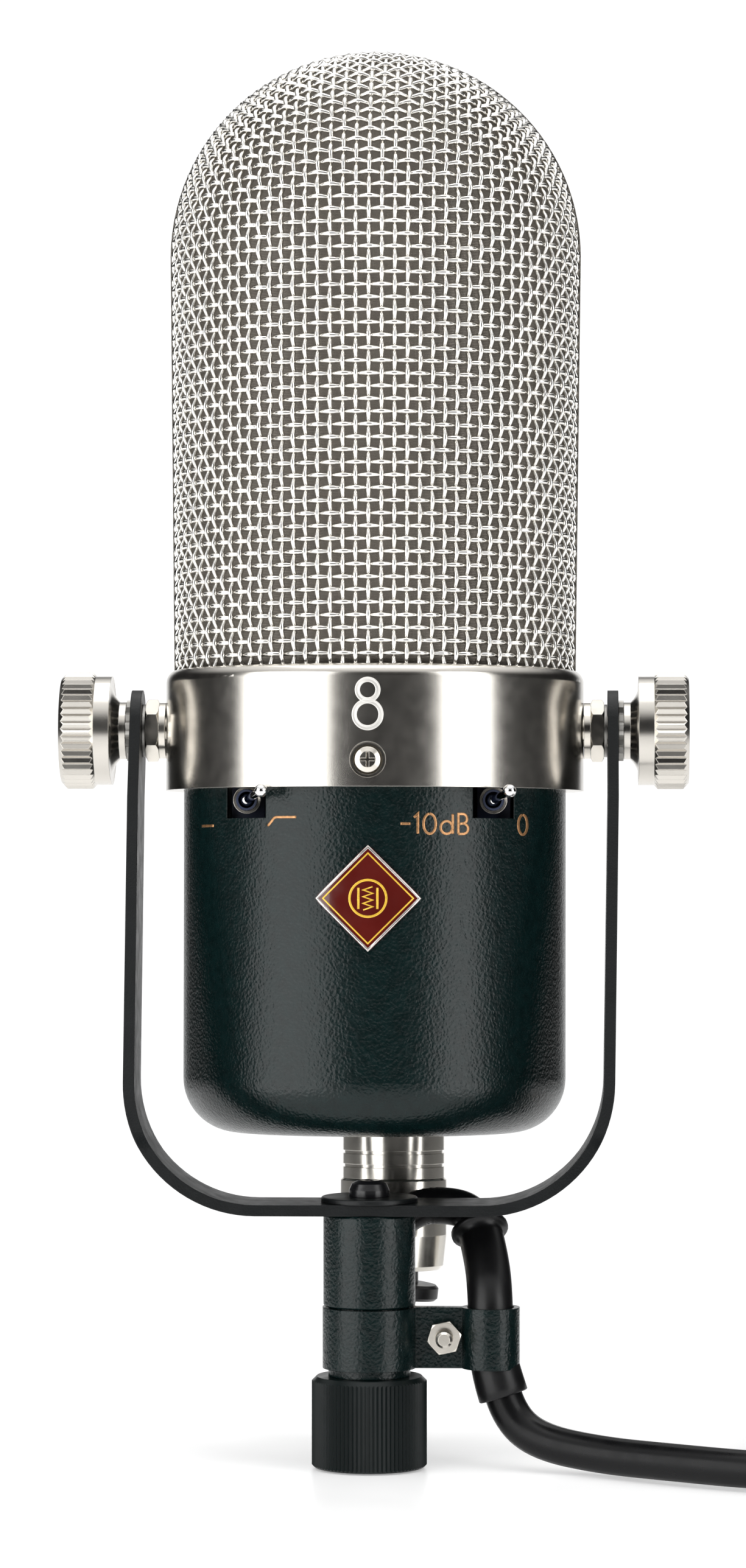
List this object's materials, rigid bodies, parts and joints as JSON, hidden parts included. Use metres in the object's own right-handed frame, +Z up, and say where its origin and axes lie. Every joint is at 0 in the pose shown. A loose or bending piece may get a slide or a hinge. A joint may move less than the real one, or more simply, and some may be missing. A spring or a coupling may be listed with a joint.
{
  "type": "ribbon microphone",
  "caption": "Side-address ribbon microphone with a domed wire grille, satin collar and painted shell, hung in a tilting U yoke on a threaded stand post, with its lead.",
  "frame": {"origin": "mouth of the stand thread, on the axis of the post", "axes": "+Z up along the post, -Y the microphone's front, +X the side where the lead leaves"},
  "size_m": [0.2359, 0.155, 0.2586],
  "materials": {
    "green_paint": "satin",
    "black_ring": "satin",
    "spring_steel": "satin",
    "black_paint": "satin",
    "black_screw": "gloss",
    "nickel_screws": "polished",
    "satin_nickel": "satin",
    "dark_nickel": "satin",
    "wire_mesh": "satin",
    "fine_mesh": "satin",
    "red_enamel": "gloss",
    "switch_case": "matte",
    "chrome": "polished",
    "circuit_board": "satin",
    "aluminium_plate": "satin",
    "capacitor_case": "gloss",
    "core_iron": "matte",
    "coil_tape": "satin",
    "brass": "satin",
    "magnet": "satin",
    "ribbon_foil": "polished",
    "bright_nickel": "polished",
    "black_plastic": "matte",
    "pin_silver": "polished",
    "black_rubber": "satin",
    "cable_jacket": "satin"
  },
  "bodies": {
    "stand": {"post": "green_paint", "yoke": "black_paint", "yoke_washer": "black_paint", "yoke_screw": "black_screw", "retaining_ring": "spring_steel", "cable_clip": "green_paint", "clip_screw": "nickel_screws", "clip_nut": "nickel_screws", "cable_sleeve": "black_rubber", "cable_loop": "cable_jacket", "cable": "cable_jacket", "cable_coil": "cable_jacket", "cable_tail": "cable_jacket", "line_plug_shell": "bright_nickel", "line_plug_insert": "black_plastic", "line_plug_pins": "pin_silver", "line_plug_boot": "black_rubber"},
    "stand_ring": {"stand_ring": "black_ring"},
    "knob_left": {"knob_left": "satin_nickel"},
    "knob_right": {"knob_right": "satin_nickel"},
    "toggle_left": {"toggle_left": "chrome"},
    "toggle_right": {"toggle_right": "chrome"},
    "plug_latch": {"plug_latch": "bright_nickel"},
    "microphone": {"pivot_studs": "nickel_screws", "pivot_washers": "nickel_screws", "pivot_nuts": "nickel_screws", "lock_washers": "spring_steel", "star_washers": "spring_steel", "grille_frame": "dark_nickel", "grille_front": "wire_mesh", "grille_rear": "wire_mesh", "inner_mesh_front": "fine_mesh", "inner_mesh_rear": "fine_mesh", "collar": "satin_nickel", "collar_screws": "nickel_screws", "shell": "green_paint", "badge": "red_enamel", "switch_bodies": "switch_case", "switch_nuts": "nickel_screws", "switch_board": "circuit_board", "chassis_plate": "aluminium_plate", "frame_screws": "nickel_screws", "side_rails": "aluminium_plate", "circuit_board": "circuit_board", "capacitors": "capacitor_case", "transformer_core": "core_iron", "transformer_coil": "coil_tape", "motor_pillars": "brass", "motor_frame": "brass", "magnets": "magnet", "pole_pieces": "core_iron", "ribbon": "ribbon_foil", "ribbon_clamps": "brass", "clamp_screws": "nickel_screws", "xlr_shell": "bright_nickel", "xlr_insert": "black_plastic", "xlr_pins": "pin_silver", "plug_shell": "bright_nickel", "plug_insert": "black_plastic", "plug_boot": "black_rubber"}
  },
  "joints": [
    {"name": "tilt", "type": "hinge", "parent": "stand", "child": "microphone", "pos_m": [0, 0.03, 0.1325], "axis": [1, 0, 0], "range_deg": [-2, 18], "deforming": ["cable_loop"]},
    {"name": "knob_left_turn", "type": "hinge", "parent": "microphone", "child": "knob_left", "pos_m": [-0.054, 0.03, 0.1325], "axis": [-1, 0, 0], "continuous": true},
    {"name": "knob_right_turn", "type": "hinge", "parent": "microphone", "child": "knob_right", "pos_m": [0.054, 0.03, 0.1325], "axis": [1, 0, 0], "continuous": true},
    {"name": "switch_left", "type": "hinge", "parent": "microphone", "child": "toggle_left", "pos_m": [-0.0223, 0.00344, 0.12025], "axis": [0, 0.0436, 0.999], "range_deg": [-38, 0]},
    {"name": "switch_right", "type": "hinge", "parent": "microphone", "child": "toggle_right", "pos_m": [0.0223, 0.00344, 0.12025], "axis": [0, 0.0436, 0.999], "range_deg": [-38, 0]},
    {"name": "ring_turn", "type": "hinge", "parent": "stand", "child": "stand_ring", "pos_m": [0, 0, 0.008], "axis": [0, 0, 1], "continuous": true},
    {"name": "latch_press", "type": "slide", "parent": "microphone", "child": "plug_latch", "axis": [0, -0.999, 0.0436], "range_m": [0, 0.0009], "stiffness_N_per_m": 400}
  ]
}
